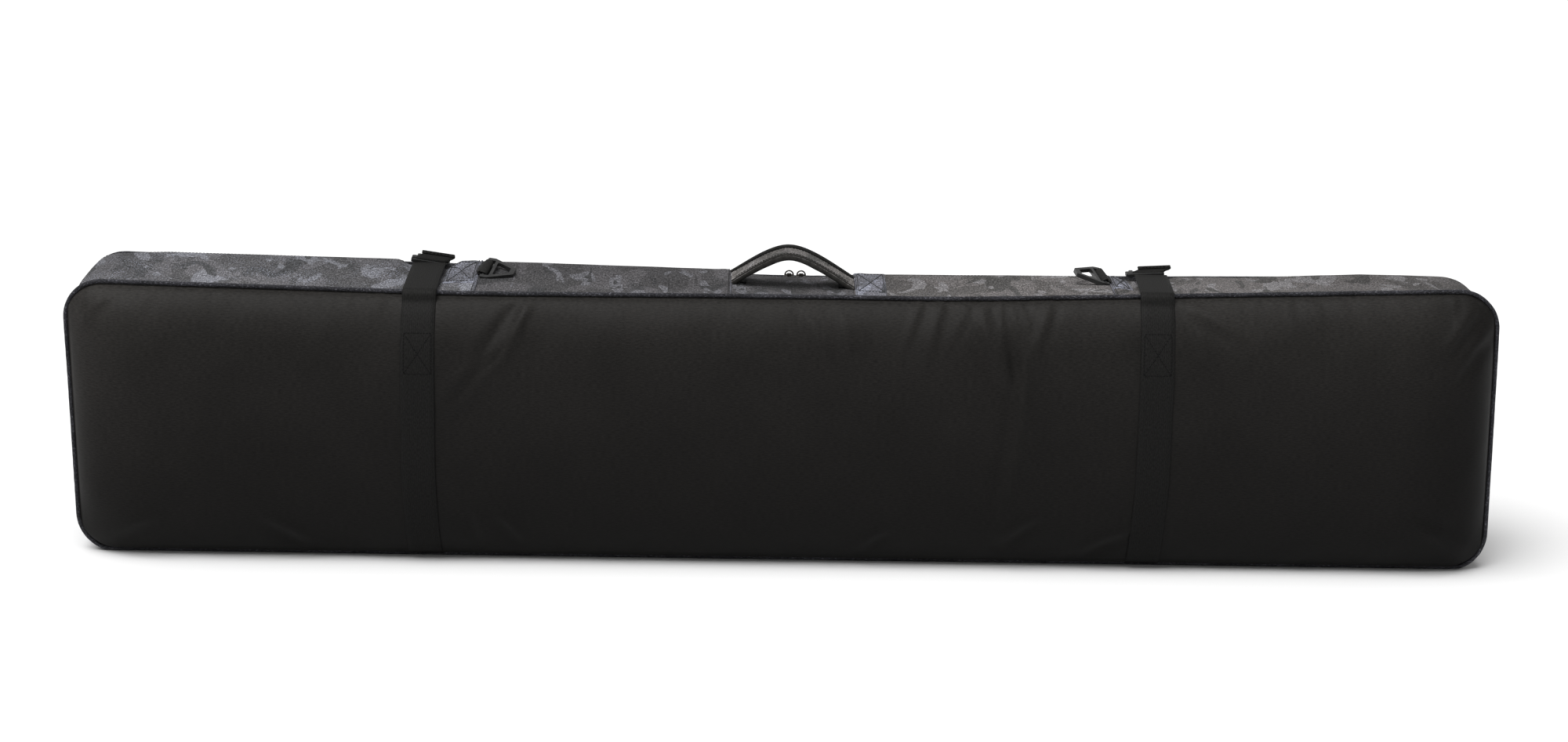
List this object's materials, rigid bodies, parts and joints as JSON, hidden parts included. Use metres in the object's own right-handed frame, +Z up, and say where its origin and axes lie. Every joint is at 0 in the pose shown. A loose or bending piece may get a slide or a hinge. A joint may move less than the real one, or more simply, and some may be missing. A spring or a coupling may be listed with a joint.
{
  "type": "snowboard bag",
  "caption": "Long padded bag for a snowboard, standing on its edge, with a wrap-around zip lid, carry handle, compression straps and triangular rings.",
  "frame": {"origin": "on the ground under the middle of the bag, which stands on its long lower side", "axes": "+X along the bag, +Y from the plain back panel to the opening front panel, +Z up"},
  "size_m": [1.69, 0.244, 0.3683],
  "materials": {
    "black_cloth": "coated plain weave polyester",
    "patterned_cloth": "heathered grey plain weave with a darker blotched print",
    "piping_cloth": "bias tape over a cord",
    "foam": "closed-cell foam sheet, hidden",
    "lining_cloth": "thin plain weave",
    "binding_tape": "woven edge tape",
    "webbing": "ribbed flat webbing",
    "black_plastic": "moulded acetal, fine texture",
    "zip_tape": "knitted zip tape",
    "zip_teeth": "nylon coil",
    "dark_metal": "black enamel"
  },
  "bodies": {
    "bag": {"back_panel_foam": "foam", "back_panel_lining": "lining_cloth", "back_panel_shell": "black_cloth", "back_piping": "piping_cloth", "back_seam_binding": "binding_tape", "gusset_base": "patterned_cloth", "gusset_foam": "foam", "gusset_left_end": "patterned_cloth", "gusset_lining": "lining_cloth", "gusset_right_end": "patterned_cloth", "gusset_top_left": "patterned_cloth", "gusset_top_middle": "patterned_cloth", "gusset_top_right": "patterned_cloth", "handle_anchor_left": "webbing", "handle_anchor_right": "webbing", "patch_left": "patterned_cloth", "patch_right": "patterned_cloth", "ring_loop_left": "webbing", "ring_loop_right": "webbing", "skirt_foam": "foam", "skirt_lining": "lining_cloth", "skirt_piping": "piping_cloth", "skirt_seam_binding": "binding_tape", "skirt_shell": "patterned_cloth", "strap_back_left": "webbing", "strap_back_right": "webbing", "strap_foot_left": "webbing", "strap_foot_right": "webbing", "zip_coil_body": "zip_teeth", "zip_end_stops": "dark_metal", "zip_tape_body": "zip_tape"},
    "lid": {"buckle_socket_left": "black_plastic", "buckle_socket_right": "black_plastic", "lid_foam": "foam", "lid_lining": "lining_cloth", "lid_piping": "piping_cloth", "lid_seam_binding": "binding_tape", "lid_shell": "patterned_cloth", "lid_strap_left": "webbing", "lid_strap_right": "webbing", "zip_coil_lid": "zip_teeth", "zip_tape_lid": "zip_tape"},
    "slider_left": {"slider_left": "dark_metal"},
    "slider_right": {"slider_right": "dark_metal"},
    "pull_left": {"pull_left": "dark_metal"},
    "pull_right": {"pull_right": "dark_metal"},
    "handle": {"handle_cover": "patterned_cloth", "handle_padding": "foam", "handle_webbing": "webbing"},
    "ring_left": {"ring_left": "black_plastic"},
    "ring_right": {"ring_right": "black_plastic"},
    "strap_left": {"strap_free_left": "webbing", "strap_tail_left": "webbing", "buckle_plug_left": "black_plastic"},
    "strap_right": {"strap_free_right": "webbing", "strap_tail_right": "webbing", "buckle_plug_right": "black_plastic"}
  },
  "joints": [
    {"name": "lid_fold", "type": "hinge", "parent": "bag", "child": "lid", "pos_m": [0, 0.1084, 0.055], "axis": [-1, 0, 0], "range_deg": [0, 90]},
    {"name": "zip_left", "type": "slide", "parent": "bag", "child": "slider_left", "axis": [-0.9998, 0, 0.0222], "range_m": [0, 0.79]},
    {"name": "pull_left", "type": "hinge", "parent": "slider_left", "child": "pull_left", "pos_m": [0.00772, 0.0646, 0.31776], "axis": [0.9998, 0, -0.0222], "range_deg": [-85, 85]},
    {"name": "zip_right", "type": "slide", "parent": "bag", "child": "slider_right", "axis": [0.9999, 0, 0.0141], "range_m": [0, 0.76]},
    {"name": "pull_right", "type": "hinge", "parent": "slider_right", "child": "pull_right", "pos_m": [0.02228, 0.0646, 0.3177], "axis": [0.9999, 0, 0.0141], "range_deg": [-85, 85]},
    {"name": "handle_swing", "type": "hinge", "parent": "bag", "child": "handle", "pos_m": [0.011, -0.006, 0.32036], "axis": [1, 0, 0], "range_deg": [-25, 25]},
    {"name": "ring_left", "type": "hinge", "parent": "bag", "child": "ring_left", "pos_m": [-0.35487, 0.00508, 0.33357], "axis": [-0.2012, -0.9324, -0.3001], "range_deg": [-5, 140]},
    {"name": "ring_right", "type": "hinge", "parent": "bag", "child": "ring_right", "pos_m": [0.38177, 0.00594, 0.33449], "axis": [-0.204, 0.9529, 0.2244], "range_deg": [-12, 121]},
    {"name": "strap_left", "type": "hinge", "parent": "bag", "child": "strap_left", "pos_m": [-0.426, -0.082, 0.32727], "axis": [1, 0, 0], "range_deg": [0, 190]},
    {"name": "strap_right", "type": "hinge", "parent": "bag", "child": "strap_right", "pos_m": [0.438, -0.082, 0.33599], "axis": [1, 0, 0], "range_deg": [0, 190]}
  ]
}
